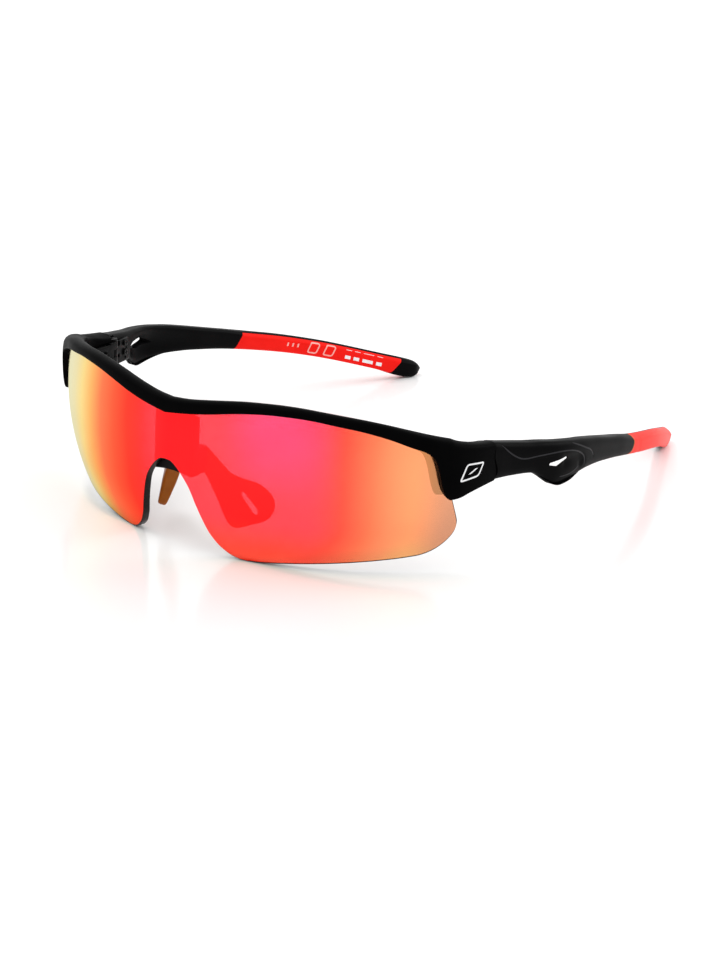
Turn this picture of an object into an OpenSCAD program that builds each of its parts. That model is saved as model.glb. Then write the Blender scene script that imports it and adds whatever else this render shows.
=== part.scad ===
// Wraparound sport sunglasses: half-rim shield lens, folding arms, soft nose pads.
// +Z up, +X to the wearer's left, +Y back along the arms, standing on the lower
// lens edges, with the arm tips just over the same level. All the shapes are laid out
// about the middle of the line between the two arm seams, then lifted to stand on z = 0.

/* [Lens] */
// Radius of the shield in plan, at its front surface
lens_plan_r = 73.5; // [72:0.5:75]
// Radius of the shield in side view, at its front surface
lens_side_r = 63.2; // [58:0.2:70]
// Thickness of the polycarbonate shield
lens_t = 2.0; // [1.6:0.1:2.2]
// Gap all round the shield in its groove
groove_gap = 0.12; // [0.08:0.02:0.2]

/* [Brow frame] */
// How far the brow stands proud of the lens face
brow_proud = 1.2; // [0.9:0.1:1.5]
// Further stand-off of the end pieces from the lens face
end_flare = 0.9; // [0.6:0.1:1.1]
// Depth of the brow, front to back
brow_depth = 4.6; // [4.4:0.1:5.4]
// Depth of the end piece at the arm seam, outside to inside
end_depth = 6.2; // [6:0.1:6.6]
// Half width of the bridge block's upright web behind the lens
web_half_w = 6.0; // [5.4:0.1:6.6]
// Thickness of that web, front to back
web_t = 2.5; // [2.2:0.1:3]
// Half width of the lug that carries the pads
bridge_half_w = 5.4; // [4.8:0.1:6]
// Depth of the lug, front to back
bridge_depth = 6.4; // [6.2:0.1:6.8]

/* [Arms] */
// Thickness of an arm at the hinge
arm_t_front = 5.2; // [4.8:0.1:5.4]
// Thickness of an arm over its rubber grip
arm_t_back = 4.2; // [3.8:0.1:4.6]
// Depth of the moulded grips into the arm, on each side
grip_t = 1.5; // [1.2:0.1:1.6]
// Height of the black rim left above the inner grip
rim_h = 0.5; // [0.4:0.1:0.8]
// Gap between a moulded grip and its pocket
grip_gap = 0.04; // [0.02:0.01:0.08]
// Gap of the seam between end piece and arm
seam_gap = 0.3; // [0.25:0.05:0.4]

/* [Hinge] */
// Fold axis, from the middle of the glasses to the wearer's left
hinge_x = 60.4; // [60.2:0.1:60.6]
// Fold axis, behind the seam
hinge_y = 1.2; // [1.1:0.1:1.3]
// Outer radius of the knuckles
knuckle_r = 1.5; // [1.4:0.05:1.55]
// Radius of the hinge screw's shank
pin_r = 0.7; // [0.6:0.05:0.75]
// Running clearance between shank and bore, on the radius
pin_gap = 0.05; // [0.04:0.01:0.08]
// Thickness of the leaf plates
leaf_t = 1.0; // [0.8:0.1:1]
// Radius of the small screws that hold the leaves
leaf_screw_r = 0.5; // [0.45:0.05:0.55]

/* [Nose pads] */
// Thickness of the soft pads
pad_t = 2.6; // [2:0.1:2.8]
// Height of the block that the pads hang from, under the brow
bridge_drop = 14.9; // [14.4:0.1:15.2]

/* [Hidden] */

black = [0.03, 0.03, 0.035];
red = [0.86, 0.07, 0.05];
steel = [0.2, 0.2, 0.21];
lens_red = [0.95, 0.25, 0.12, 0.8];
amber = [0.72, 0.42, 0.12];

ring_y = 27.3;              // centre of the plan circle, behind the seam
eye_z = -4.5;               // height of the side circle's centre

// ---- curves and skins ------------------------------------------------------
// Smooth curve through a table of [position, value] knots, held level past its ends
function knot(table, at, i = 0) =
    (i >= len(table) - 2 || at < table[i + 1][0]) ? i : knot(table, at, i + 1);
function slope(table, i) = let (before = max(i - 1, 0), after = min(i + 1, len(table) - 1))
    (table[after][1] - table[before][1]) / (table[after][0] - table[before][0]);
function curve(table, at) = let (
    held = min(max(at, table[0][0]), table[len(table) - 1][0]),
    i = knot(table, held),
    span = table[i + 1][0] - table[i][0],
    t = (held - table[i][0]) / span)
    (2*t*t*t - 3*t*t + 1) * table[i][1] + (t*t*t - 2*t*t + t) * slope(table, i) * span
    + (3*t*t - 2*t*t*t) * table[i + 1][1] + (t*t*t - t*t) * slope(table, i + 1) * span;

function reversed(list) = [for (i = [len(list) - 1 : -1 : 0]) list[i]];
function flip_x(ring) = [for (p = ring) [-p[0], p[1], p[2]]];
// Rings from the middle (first) to the left end, completed by their mirror images
function both_halves(half) =
    concat([for (i = [len(half) - 1 : -1 : 1]) flip_x(half[i])], half);

// Closed skin through rings of points.
// Each ring runs up one side and back down the other, so that its caps are strips of quads.
module skin(rings) {
    count = len(rings);
    size = len(rings[0]);
    last = (count - 1) * size;
    quads = [for (j = [0 : size / 2 - 2]) [j, j + 1, size - 2 - j, size - 1 - j]];
    first_cap = [for (q = quads) each [[q[0], q[2], q[1]], [q[0], q[3], q[2]]]];
    walls = [for (i = [0 : count - 2], j = [0 : size - 1])
        let (k = (j + 1) % size, here = i * size, next = here + size)
        each [[here + j, here + k, next + k], [here + j, next + k, next + j]]];
    last_cap = [for (q = quads)
        each [[last + q[0], last + q[1], last + q[2]], [last + q[0], last + q[2], last + q[3]]]];
    polyhedron([for (r = rings) each r], concat(first_cap, walls, last_cap), convexity = 10);
}

// ---- placing ----------------------------------------------------------------
// A moulding: its skins and cuts are merged into one closed shell at their true size
module moulding() { resize([0, 0, 0]) union() { children(); } }
module both_sides() {
    children();
    mirror([1, 0, 0]) children();
}
// side is 1 for the wearer's left, -1 for the right
module on_side(side) mirror([side < 0 ? 1 : 0, 0, 0]) children();
module place() translate(stand_offset) children();
// Upright [y, z] outline, extruded outwards from the middle plane
module side_prism() rotate([90, 0, 90]) linear_extrude(100) children();
// Block across the middle plane, its front at y and its underside at z
module middle_block(size, y, z) translate([-size[0] / 2, y, z]) cube(size);

// ---- outlines of lens and brow -----------------------------------------------
// All are [degrees round from the middle, height]
// Lower edge of the brow's front wall, then of the end piece
brow_low = [[0, 3.0], [5, 3.9], [10, 5.0], [15, 6.2], [20, 7.0], [25, 7.2], [30, 6.9],
    [35, 6.0], [40, 4.9], [45, 3.2], [49, 1.4], [51.5, 0.3], [53, -1.2], [54, -4.2],
    [54.8, -8.2], [55.6, -10.9], [57, -12.1], [58.6, -11.6]];
// Crown of the brow
brow_top = [[0, 6.4], [4, 6.8], [8, 7.5], [12, 8.2], [16, 8.8], [20, 9.1], [24, 9.2],
    [28, 9.0], [32, 8.5], [36, 7.9], [40, 7.2], [44, 6.3], [48, 5.3], [52, 4.1], [56, 2.8],
    [60, 1.6]];
lens_edge = 59.3;           // degrees to the shield's side edge, low down
// Lower edge of the shield: nose notch, then the long lower edge, then the outer corner
lens_low = [[0, -9.1], [1.4, -9.4], [2.8, -10.8], [4.2, -12.9], [5.5, -15.6], [6.7, -19.7],
    [8.6, -25.9], [9.7, -28.2], [10.8, -29.9], [12, -31.1], [13.3, -32.1], [15.4, -32.8],
    [18.2, -32.9], [21, -32.6], [26, -31.9], [36, -30.5], [46, -29], [50.6, -28.2],
    [53, -27.6], [55.3, -26.3], [57.2, -24.4], [58.4, -22.5], [59.0, -20.9],
    [lens_edge, -18.6]];
// Roof of the lens groove in the end piece
end_groove = [[50, 2.85], [54, 1.6], [lens_edge, 0.4]];

// From the seam-centred layout to the standing frame: y = 0 at mid-length
stand_offset = [0, -33.93, -min([for (p = lens_low) p[1]])];

// ---- shield lens ---------------------------------------------------------
// Columns of points, in degrees round from the middle, and steps up each column
lens_cols = [0, 1.4, 2.1, 2.8, 3.5, 4.2, 4.8, 5.5, 6.1, 6.7, 7.6, 8.6, 9.7, 10.8, 12, 13.3,
    15.4, 18.2, 21, 24, 27, 30, 33, 36, 39, 42, 45, 48, 50.6, 53, 55.3, 56.4, 57.2, 57.9,
    58.4, 58.9, lens_edge];
lens_rows = 6;
lean_z = -20.4;             // height where the side edge starts to lean in
lean_blend = 3;             // height over which the lean builds up
lean_rate = 0.27;           // degrees per mm of height
lean_max = 4.2;             // degrees
lean_from = 48;             // degrees at which columns start to follow the lean
groove_widening = 0.34;     // degrees that the groove runs on past the side edge

// Point of the shield: angle round from the middle, height z, out from its front surface
function shell(angle, z, out) = let (
    side_r = lens_side_r + out,
    plan_r = lens_plan_r - lens_side_r + sqrt(side_r*side_r - (z - eye_z)*(z - eye_z)))
    [plan_r * sin(angle), ring_y - plan_r * cos(angle), z];
function groove_top(angle) = angle < 50
    ? curve(brow_low, angle) + 0.5 * (curve(brow_top, angle) - curve(brow_low, angle))
    : curve(end_groove, angle);
// Degrees to the shield's side edge at height z
function side_end(z) = let (above = z - lean_z)
    lens_edge - min(lean_max, lean_rate * (above > lean_blend
        ? above - lean_blend / 2 : pow(max(above, 0), 2) / (2 * lean_blend)));
// One column of the shield, grown by gap at its faces. Any widening, in degrees, makes
// it a groove cutter, which also runs on below the lens and fills the gap above it.
function lens_ring(angle, gap, widening) = let (
    low = curve(lens_low, angle) - (widening > 0 ? 6 : 0),
    high = groove_top(angle) - (widening > 0 ? 0 : groove_gap),
    follow = angle > lean_from ? pow((angle - lean_from) / (lens_edge - lean_from), 2) : 0,
    widen = angle > 40 ? widening * (angle - 40) / 19.5 : 0,
    column = [for (j = [0 : lens_rows]) let (z = low + (high - low) * j / lens_rows)
        [angle + follow * (side_end(z) - lens_edge) + widen, z]])
    concat([for (c = column) shell(c[0], c[1], gap)],
        [for (c = reversed(column)) shell(c[0], c[1], -lens_t - gap)]);
module lens_skin(gap = 0, widening = 0)
    skin(both_halves([for (angle = lens_cols) lens_ring(angle, gap, widening)]));
module shield_lens() color(lens_red) place() moulding() lens_skin();

// ---- brow frame ------------------------------------------------------------
brow_cols = [0, for (i = [0 : 15]) 1.7 + 3.04 * i,
    50.1, 51.4, 52.4, 53.2, 53.9, 54.5, 55.1, 55.8, 56.6];
// End piece behind the lens, by station:
// [outer face x, y], [inward direction x, y], low, top, rounding of the shoulder, depth
end_stations = [
    [[64.1, -11.7], [-0.90, 0.42], -11.7, 1.6, 0.9, 5.6],
    [[64.8, -8.6], [-0.96, 0.26], -10.85, 1.0, 0.75, 5.5],
    [[65.2, -5.6], [-0.985, 0.17], -10.3, 0.5, 0.6, 5.8],
    [[65.35, -2.6], [-0.995, 0.08], -9.95, 0.15, 0.45, 6.05],
    [[65.4, 1.3], [-1, 0], -9.62, -0.25, 0.35, end_depth],
    [[65.5, 3.4], [-1, 0], -9.4, -0.5, 0.3, end_depth]];

// Section outline as [depth from the front face, height], from the lower front edge,
// over the crown and down the back. shoulder is how much the outer shoulder is rounded off.
function section(front_low, rear_low, crown, depth, shoulder) = [
    [0.25, front_low], [0, front_low + 0.3],
    [0.05, crown - 0.5 - 1.3 * shoulder], [0.5, crown + 0.05 - 0.7 * shoulder],
    [1.5, crown + 0.25 - 0.5 * shoulder], [3.1, crown - 0.05],
    [depth - 0.35, crown - 0.75], [depth, crown - 1.5],
    [depth, rear_low + 0.3], [depth - 0.3, rear_low],
    [2.4, rear_low], [2.2, front_low]];
// Share of the end piece's extra stand-off, eased in from 0 to 1
function flare(angle) = let (s = min(max((angle - 43) / 11, 0), 1)) s * s * (3 - 2 * s);
function rear_edge(angle) = angle < 47 ? curve(brow_low, angle) - 0.3
    : max(curve(brow_low, min(angle + 2.2, 57)) - 0.3, end_stations[0][2]);
function brow_ring(angle) = let (
    stand_off = end_flare * flare(angle),
    outline = section(curve(brow_low, angle), rear_edge(angle), curve(brow_top, angle),
        brow_depth + stand_off, flare(angle)))
    [for (s = outline) shell(angle, s[1], brow_proud + stand_off - s[0])];
function end_ring(station) = let (
    face = station[0],
    inward = station[1],
    low = station[2],
    outline = section(low, low - 0.02, station[3], station[5], station[4]))
    [for (s = outline) let (bow = -(s[1] + 5) * (s[1] + 5) * 0.006)
        [face[0] + bow + inward[0] * s[0], face[1] + inward[1] * s[0], s[1]]];

// Gently waved seam line between end piece and arm, as distance back at height z
function wave(z) = 0.55 * sin((z + 1) * 42);
module behind_seam(back) side_prism()
    polygon(concat([for (z = [3 : -1 : -13]) [wave(z) + back, z]], [[30, -13], [30, 3]]));

module brow_frame() color(black) place() moulding() difference() {
    union() {
        skin(both_halves(concat([for (angle = brow_cols) brow_ring(angle)],
            [for (station = end_stations) end_ring(station)])));
        // socket for the bridge block's tongue
        middle_block([9.2, 4.4, 2.6], -43.8, 1.9);
    }
    lens_skin(groove_gap, groove_widening);
    middle_block(tongue_size + [2, 2, 1] * tongue_gap, tongue_y - tongue_gap, tongue_z);
    both_sides() {
        behind_seam(0);
        hinge_relief();
        // seat of the front leaf and the holes of its screws
        translate([leaf_face - 5.05, front_leaf_y - 0.1, hinge_mid - leaf_seat_h / 2])
            cube([5.05, 12, leaf_seat_h]);
        at_front_screws(hinge_x - 2) screw_socket();
    }
}

// ---- nose bridge ----------------------------------------------------------------
bridge_front = -43.1;
bridge_top = 1.8;
lug_below = 8.4;            // top of the lug, below the top of the web
tongue_size = [4.4, 1.6, 2.8];
tongue_y = -42.3;
tongue_z = 1;
tongue_gap = 0.1;
arch_r = 28;
arch_z = -40.6;             // height of the arch's centre
module nose_bridge() color(black) place() difference() {
    union() {
        // web hung from the brow, and the lug that it carries
        bridge_low = bridge_top - bridge_drop;
        middle_block([2 * web_half_w, web_t, bridge_drop], bridge_front, bridge_low);
        middle_block([2 * bridge_half_w, bridge_depth, bridge_drop - lug_below],
            bridge_front, bridge_low);
        middle_block(tongue_size, tongue_y, tongue_z);
    }
    // arch over the wearer's nose
    translate([0, 0, arch_z]) rotate([90, 0, 0])
        cylinder(r = arch_r, h = 100, center = true, $fn = 96);
    // slots for the tabs of the pads
    for (side = [1, -1]) pad_frame(side) translate([0, 0, -0.1]) linear_extrude(pad_t + 0.2)
        polygon([[-2, -1.2], [-2, 6.2], [6, 6.2], [6, -1.2]]);
}

// ---- nose pads --------------------------------------------------------------------
// Own frame of a pad: first axis back, second axis up, third axis outwards
pad_back = [0.580, 0.792, 0.193];
pad_up = [-0.316, 0, 0.949];
pad_out = [0.751, -0.611, 0.250];
pad_at = [3.4, -36.0, -13.4];
// The outlines are [back, up] in that frame
pad_outline = [[0, 5.6], [2.4, 5.2], [5, 0.3], [6.5, -2.2], [9.2, -4.2], [12.8, -6.2],
    [14.8, -8.7], [15.7, -11.2], [15.4, -13.2], [13.7, -15.2], [11.6, -15.9], [9, -15.8],
    [7, -15.9], [5, -15.8], [3.7, -15.0], [2.9, -13.6], [2.1, -8.7], [1.1, -3.7],
    [0.2, -0.5]];
pad_tab = [[-1.9, -0.3], [-1.9, 5.6], [0.6, 5.6], [0.6, -0.3]];
// Slot that lets the pad flex
pad_slot = [[7.9, -7.2], [8.8, -7.6], [11.2, -12.8], [10.9, -13.9], [9.9, -13.4],
    [7.8, -8.2]];
// Closed outline with a rounding point added on each edge
function smoothed(outline) = let (n = len(outline))
    [for (i = [0 : n - 1]) let (before = outline[(i + n - 1) % n], here = outline[i],
        next = outline[(i + 1) % n], after = outline[(i + 2) % n])
        each [here, (9 * (here + next) - before - after) / 16]];
module pad_frame(side) on_side(side)
    multmatrix([for (i = [0 : 2]) [pad_back[i], pad_up[i], pad_out[i], pad_at[i]]])
    children();
module nose_pad(side) color(amber) place() pad_frame(side) linear_extrude(pad_t)
    difference() {
        union() {
            polygon(smoothed(pad_outline));
            polygon(pad_tab);
        }
        polygon(pad_slot);
    }
module left_nose_pad() nose_pad(1);
module right_nose_pad() nose_pad(-1);

// ---- hinges ----------------------------------------------------------------
hinge_mid = -4.8;           // height of the middle knuckle
mid_h = 2.1;                // length of the arm's knuckle
knuckle_h = 1.9;            // length of each knuckle of the front leaf
knuckle_gap = 0.06;         // gap between knuckles
upper_knuckle = mid_h / 2 + knuckle_gap;    // its underside, above the hinge's middle
hinge_top = upper_knuckle + knuckle_h;      // top of the knuckles, above that middle
front_screw_y = [-3.0, -7.0];
arm_screw_y = 5.6;
arm_screw_z = [-1.35, 1.35];
arm_splay = 13.7;           // degrees that an arm's inner face opens outwards at the hinge
leaf_face = hinge_x - 0.95; // seat of the front leaf
leaf_seat_h = 6.3;
front_leaf_y = -9.2;        // front end of the front leaf
front_leaf_h = 5.2;
arm_plate = 4.6;            // length and height of the arm leaf's plate
arm_face = 0.25;            // seat of the arm leaf, outwards from the fold axis

module at_hinge() translate([hinge_x, hinge_y, hinge_mid]) children();
module arm_leaf_frame() at_hinge() rotate([0, 0, -arm_splay]) children();
module at_front_screws(x) for (y = front_screw_y) translate([x, y, hinge_mid]) children();
module at_arm_screws(x) arm_leaf_frame()
    for (z = arm_screw_z) translate([x, arm_screw_y, z]) children();

// Room for the knuckles and the screw's head
module hinge_relief() translate([hinge_x, hinge_y, -8.1])
    cylinder(r = knuckle_r + 0.3, h = 7.3, $fn = 32);
module hinge_bore() at_hinge() cylinder(r = pin_r + pin_gap, h = 12, center = true, $fn = 48);
// Holes for the leaf screws: in the mouldings, then in the leaves
module screw_socket() rotate([0, 90, 0]) cylinder(r = leaf_screw_r + 0.06, h = 4.3, $fn = 20);
module leaf_hole() rotate([0, 90, 0])
    cylinder(r = leaf_screw_r + 0.05, h = 4, center = true, $fn = 32);
// Plate lying against the inner side of a seat
module leaf_plate(face, y, z, length, height) translate([face - leaf_t, y, z])
    cube([leaf_t, length, height]);

module front_leaf(side) color(steel) place() on_side(side) difference() {
    union() {
        leaf_plate(leaf_face, front_leaf_y, hinge_mid - front_leaf_h / 2, 9.0, front_leaf_h);
        for (z = [-hinge_top, upper_knuckle]) {
            at_hinge() translate([0, 0, z]) cylinder(r = knuckle_r, h = knuckle_h, $fn = 48);
            leaf_plate(leaf_face, -1.5, hinge_mid + z, 2.2, knuckle_h);
        }
    }
    hinge_bore();
    at_front_screws(leaf_face) leaf_hole();
}
module arm_leaf(side) color(steel) place() on_side(side) difference() {
    union() {
        arm_leaf_frame() leaf_plate(arm_face, 2.9, -arm_plate / 2, arm_plate, arm_plate);
        arm_leaf_frame() leaf_plate(arm_face, 0, -mid_h / 2, 5, mid_h);
        at_hinge() cylinder(r = knuckle_r, h = mid_h, center = true, $fn = 48);
    }
    hinge_bore();
    at_arm_screws(arm_face) leaf_hole();
}
// Pan-head screw with a cross recess that holds a leaf, head towards the wearer
module leaf_screw() rotate([0, 90, 0]) difference() {
    union() {
        translate([0, 0, -leaf_t]) cylinder(r = leaf_screw_r, h = leaf_t + 2.0, $fn = 32);
        translate([0, 0, -leaf_t - 0.5]) cylinder(r = 0.95, h = 0.5, $fn = 40);
    }
    for (recess = [[0.26, 1.25, 0.4], [1.25, 0.26, 0.4]])
        translate([0, 0, -leaf_t - 0.4]) cube(recess, center = true);
}
module front_screws(side) color(steel) place() on_side(side)
    at_front_screws(leaf_face) leaf_screw();
module arm_screws(side) color(steel) place() on_side(side)
    at_arm_screws(arm_face) leaf_screw();
// Slotted screw on the fold axis, head on top
module hinge_screw(side) color(steel) place() on_side(side) at_hinge() difference() {
    union() {
        translate([0, 0, -hinge_top + 0.1]) cylinder(r = pin_r, h = 2 * hinge_top - 0.1, $fn = 48);
        translate([0, 0, hinge_top]) cylinder(r = 1.25, h = 0.6, $fn = 48);
    }
    translate([0, 0, hinge_top + 0.5]) cube([0.35, 3, 0.5], center = true);
}
module left_front_hinge_leaf() front_leaf(1);
module right_front_hinge_leaf() front_leaf(-1);
module left_arm_hinge_leaf() arm_leaf(1);
module right_arm_hinge_leaf() arm_leaf(-1);
module left_front_leaf_screws() front_screws(1);
module right_front_leaf_screws() front_screws(-1);
module left_arm_leaf_screws() arm_screws(1);
module right_arm_leaf_screws() arm_screws(-1);
module left_hinge_screw() hinge_screw(1);
module right_hinge_screw() hinge_screw(-1);

// ---- arms ------------------------------------------------------------------
// Tables by distance back: outer face in plan, top edge, lower edge, thickness
arm_out = [[-4, 64.6], [0, 65.4], [4, 66.3], [8, 67.3], [12, 68.4], [16, 69.6], [20, 70.6],
    [24, 71.0], [28, 70.9], [32, 70.5], [38, 69.7], [44, 68.8], [50, 67.9], [56, 66.9],
    [62, 65.7], [70, 63.7], [78, 61.0], [86, 57.8], [94, 54.1], [102, 50.3], [110, 46.4],
    [115.7, 43.7]];
arm_top = [[-4, 0.5], [0, -0.1], [4, -0.85], [8, -1.5], [12, -2.15], [16, -2.6], [20, -3.2],
    [24, -3.8], [28, -4.5], [32, -5.2], [38, -6.5], [44, -7.9], [50, -9.3], [56, -10.6],
    [62, -12.0], [70, -13.8], [78, -15.8], [86, -18.0], [94, -20.5], [102, -23.1],
    [108, -25.0], [111.6, -26.3], [113.8, -27.5], [114.8, -28.6]];
arm_low = [[-4, -9.9], [0, -9.6], [4, -9.2], [8, -9.2], [11, -9.3], [13.4, -9.7],
    [15, -10.7], [17, -12.4], [18.8, -13.9], [20.4, -14.4], [22, -14.3], [25, -13.9],
    [28, -13.5], [32, -13.2], [36, -13.3], [40, -13.6], [44, -14.1], [50, -15.0],
    [56, -16.1], [62, -17.3], [70, -19.0], [78, -20.9], [86, -23.1], [94, -25.6],
    [102, -28.3], [106, -30.0], [109, -30.9], [111.4, -31.1], [113.4, -30.7],
    [114.8, -29.6]];
arm_thick = [[0, arm_t_front], [16, arm_t_front], [30, 4.6], [50, arm_t_back],
    [90, arm_t_back], [108, 4.2], [112, 3.6], [114.8, 1.6]];
// Stations of the arm's sections
arm_y = [-3, 0, 2, 4, 6.5, 9, 11, 12.5, 14, 16, 17.6, 19, 20.2, 21.5, 23, 25, 27, 29, 32, 36,
    41, 46, 51, 56, 61, 66, 71, 76, 81, 86, 91, 96, 100, 104, 107, 109, 110.8, 112.4, 113.8,
    114.8];
// Rounded section, outwards and up as fractions of half its size
arm_shape = [[1, -0.25], [1, 0.3], [0.93, 0.65], [0.7, 0.9], [0.3, 1], [-0.5, 1],
    [-0.88, 0.82], [-1, 0.45], [-1, -0.5], [-0.88, -0.85], [-0.5, -1], [0.4, -1],
    [0.76, -0.9], [0.95, -0.62]];
// The inner face is hollowed towards its lower edge behind the hinge:
// hollow by distance back, and its share by height in the section
arm_waist = [[11, 0], [15, 1.6], [18, 2.4], [24, 2.5], [28, 1.9], [34, 0.8], [42, 0]];
waist_fade = [[-1, 1], [-0.3, 1], [0.5, 0.35], [0.9, 0], [1, 0]];
vent_corners = [[17.2, -8.4], [19.6, -9.0], [23.0, -7.8]];      // [y, z]
shell_end = 58.2;           // centre of the round end of the black outer shell
shell_end_r = 3.0;

function arm_mid(y) = (curve(arm_top, y) + curve(arm_low, y)) / 2;
function arm_ring(y) = let (
    half_t = curve(arm_thick, y) / 2,
    half_h = (curve(arm_top, y) - curve(arm_low, y)) / 2,
    x = curve(arm_out, y) - half_t)
    [for (s = arm_shape)
        let (hollow = s[0] < 0 ? curve(arm_waist, y) * curve(waist_fade, s[1]) : 0)
        [x + s[0] * half_t + hollow, y, arm_mid(y) + s[1] * half_h]];
module arm_skin() skin([for (y = arm_y) arm_ring(y)]);

// Block swept along the arm between two depths in from its outer face,
// from y = front to y = back, its top lying drop below the arm's
module arm_band(outer, inner, front, back, drop)
    skin([for (i = [0 : 16]) let (y = front + (back - front) * i / 16,
        x = curve(arm_out, y), top = curve(arm_top, y) - drop)
        [[x - outer, y, -45], [x - outer, y, top], [x - inner, y, top], [x - inner, y, -45]]]);
// Pockets of the grips, made smaller by gap
module outer_pocket(gap) difference() {
    arm_band(-6, grip_t - gap, shell_end, 112.8 - gap, -6);
    translate([0, shell_end, arm_mid(shell_end)]) rotate([0, 90, 0])
        cylinder(r = shell_end_r + gap, h = 100, $fn = 32);
}
module inner_pocket(gap) intersection() {
    arm_band(arm_t_back - grip_t + gap, 12, 50, 111, rim_h + gap);
    side_prism() polygon([[62.2 + gap, -6], [50.4 + gap, -22], [52 + gap, -36],
        [100.6 - gap, -36], [103.2 - gap, -30.2], [108.4 - gap, -24.8], [112 - gap, -18]]);
}

module temple_arm(side) color(black) place() on_side(side) moulding() difference() {
    arm_skin();
    // waved front end at the seam
    difference() {
        translate([40, -20, -30]) cube([60, 30, 60]);
        behind_seam(seam_gap);
    }
    hinge_relief();
    // flat seat of the arm leaf and the holes of its screws
    arm_leaf_frame() translate([arm_face - 9, -6, -7]) cube([9, 14, 14]);
    at_arm_screws(arm_face - 2) screw_socket();
    // three-cornered vent
    hull() for (p = vent_corners) translate([50, p[0], p[1]])
        rotate([0, 90, 0]) cylinder(r = 0.35, h = 40, $fn = 16);
    outer_pocket(0);
    inner_pocket(0);
}
module outer_grip(side) color(red) place() on_side(side) moulding() intersection() {
    arm_skin();
    outer_pocket(grip_gap);
}
module inner_grip(side) color(red) place() on_side(side) moulding() intersection() {
    arm_skin();
    inner_pocket(grip_gap);
}
module left_temple_arm() temple_arm(1);
module right_temple_arm() temple_arm(-1);
module left_outer_grip() outer_grip(1);
module right_outer_grip() outer_grip(-1);
module left_inner_grip() inner_grip(1);
module right_inner_grip() inner_grip(-1);

brow_frame();
shield_lens();
nose_bridge();
left_nose_pad();
right_nose_pad();
left_front_hinge_leaf();
right_front_hinge_leaf();
left_front_leaf_screws();
right_front_leaf_screws();
left_arm_hinge_leaf();
right_arm_hinge_leaf();
left_arm_leaf_screws();
right_arm_leaf_screws();
left_hinge_screw();
right_hinge_screw();
left_temple_arm();
right_temple_arm();
left_outer_grip();
right_outer_grip();
left_inner_grip();
right_inner_grip();
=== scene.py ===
"""Sport glasses: a one-piece mirrored shield lens under a brow frame, with hinged gripped arms.

The pieces are laid out in millimetres: x to the wearer's left, -y to the front and z up, with
y = 0 at the seams between frame and arms. LIFT and MM turn that layout into the standing frame
in metres. Angles along the shield run from its middle, in degrees. Side pieces are built on
the left (+x) and mirrored.
"""
import math

import bpy
import numpy as np
from mathutils import Matrix, Vector
from mathutils.bvhtree import BVHTree


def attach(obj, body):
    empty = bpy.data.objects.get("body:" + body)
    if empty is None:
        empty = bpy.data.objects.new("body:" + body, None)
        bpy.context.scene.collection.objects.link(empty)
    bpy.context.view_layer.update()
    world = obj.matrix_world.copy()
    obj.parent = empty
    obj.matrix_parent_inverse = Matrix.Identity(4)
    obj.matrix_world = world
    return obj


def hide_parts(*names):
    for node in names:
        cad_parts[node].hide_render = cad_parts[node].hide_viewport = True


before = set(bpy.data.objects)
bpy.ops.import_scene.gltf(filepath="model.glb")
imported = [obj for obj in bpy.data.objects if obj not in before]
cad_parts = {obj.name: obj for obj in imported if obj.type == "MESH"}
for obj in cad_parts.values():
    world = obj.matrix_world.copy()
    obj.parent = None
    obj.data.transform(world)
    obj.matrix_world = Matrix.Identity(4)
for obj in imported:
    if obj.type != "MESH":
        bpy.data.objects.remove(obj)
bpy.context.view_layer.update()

MM = 0.001
LIFT = np.array([0.0, -33.93, 32.9])

# The shield is part of a ring: its radius in plan, its radius seen from the side, its centre
PLAN_R, SIDE_R, RING_Y, EYE_Z = 73.5, 63.2, 27.3, -4.5
RING_Y_M = (RING_Y + LIFT[1]) * MM         # ring centre in the standing frame
LENS_T, GAP = 2.0, 0.12                    # lens thickness, clearance in its groove
LENS_END = 59.3                            # angle of the lens's outer end
LENS_ROWS, LENS_ROUND = 26, 0.2            # rows up a face, rounding of the edges
GROOVE_WIDEN = 0.34                        # degrees the groove reaches past the lens's ends

HINGE_X, HINGE_Y = 60.4, 1.2               # hinge pin
ARM_GAP = 0.3                              # seam between frame and arm
GRIP_GAP = 0.04                            # clearance of a grip in its pocket
SHELL_END = 57.0                           # y of the middle of the black outer shell's round end
SHELL_A, SHELL_B = 4.2, 2.78               # its half length and half height

# Brow frame: (angle, z) of its lower and upper edges
BROW_LOW = [
    (0, 3.0), (5, 3.9), (10, 5.0), (15, 6.2), (20, 7.0), (25, 7.2), (30, 6.9), (35, 6.0),
    (40, 4.9), (45, 3.2), (49, 1.4), (51.5, 0.3), (53, -1.2), (54, -4.2), (54.8, -8.2),
    (55.6, -10.9), (57, -12.1), (58.6, -11.6)]
BROW_TOP = [
    (0, 6.4), (4, 6.8), (8, 7.5), (12, 8.2), (16, 8.8), (20, 9.1), (24, 9.2), (28, 9.0),
    (32, 8.5), (36, 7.9), (40, 7.2), (44, 6.3), (48, 5.3), (52, 4.2), (56, 3.1), (60, 2.2)]
# Lens: (angle, z) of its lower edge, and of its top where the frame wraps round
LENS_LOW = [
    (0, -9.1), (1.4, -9.4), (2.8, -10.8), (4.2, -12.9), (5.5, -15.6), (6.7, -19.7),
    (8.6, -25.9), (9.7, -28.2), (10.8, -29.9), (12, -31.1), (13.3, -32.1), (15.4, -32.8),
    (18.2, -32.9), (21, -32.6), (26, -31.9), (36, -30.5), (46, -29), (50.6, -28.2),
    (53, -27.6), (55.3, -26.3), (57.2, -24.4), (58.4, -22.5), (59.0, -20.9), (59.3, -18.6)]
GROOVE_END_TOP = [(50, 2.85), (54, 1.6), (59.3, 0.4)]
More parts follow.
